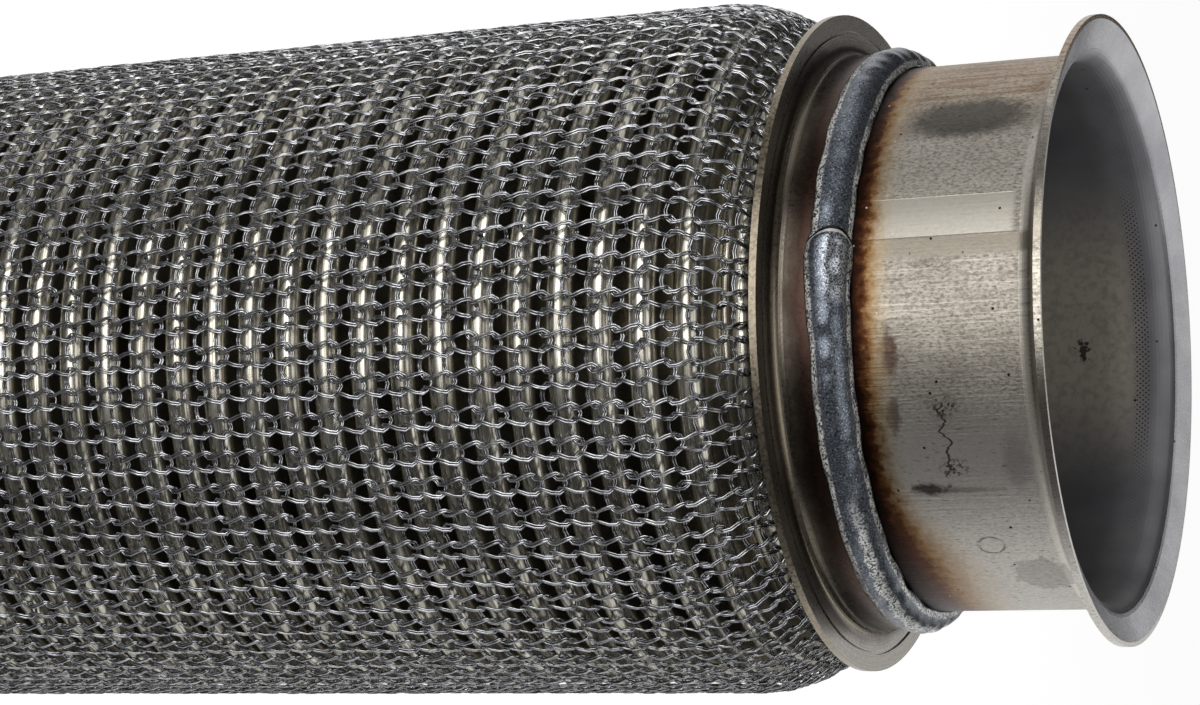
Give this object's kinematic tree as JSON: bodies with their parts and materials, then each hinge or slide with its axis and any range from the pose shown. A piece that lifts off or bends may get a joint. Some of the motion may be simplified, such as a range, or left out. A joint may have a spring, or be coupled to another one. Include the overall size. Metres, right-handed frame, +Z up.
{
  "type": "exhaust flex pipe",
  "caption": "Exhaust flex pipe: a steel bellows under a knitted wire sleeve, between two welded, flared tube ends.",
  "frame": {"origin": "centre of the lower flare's rim, where the pipe stands", "axes": "+Z up along the pipe's axis, from the lower flare to the upper one; the pipe bends in the Y-Z plane, about X"},
  "size_m": [0.1324, 0.1324, 0.3404],
  "materials": {
    "tube_steel": "satin, with heat tint near the weld",
    "collar_steel": "turned, with brown heat tint",
    "weld_scale": "rough blue-grey oxide with silver edges",
    "bellows_steel": "bright, straw tinted",
    "sleeve_wire": "drawn wire, dull grey",
    "liner_steel": "satin"
  },
  "bodies": {
    "lower_end": {"lower_tube": "tube_steel", "lower_weld_bead": "weld_scale", "lower_collar": "collar_steel", "bellows": "bellows_steel", "knitted_sleeve": "sleeve_wire", "interlock_liner": "liner_steel"},
    "upper_end": {"upper_collar": "collar_steel", "upper_weld_bead": "weld_scale", "upper_tube": "tube_steel"}
  },
  "joints": [
    {"name": "bend", "type": "hinge", "parent": "lower_end", "child": "upper_end", "pos_m": [0, 0, 0.1702], "axis": [1, 0, 0], "range_deg": [-15, 15], "stiffness_Nm_per_rad": 60, "deforming": ["bellows", "knitted_sleeve", "interlock_liner"]}
  ]
}
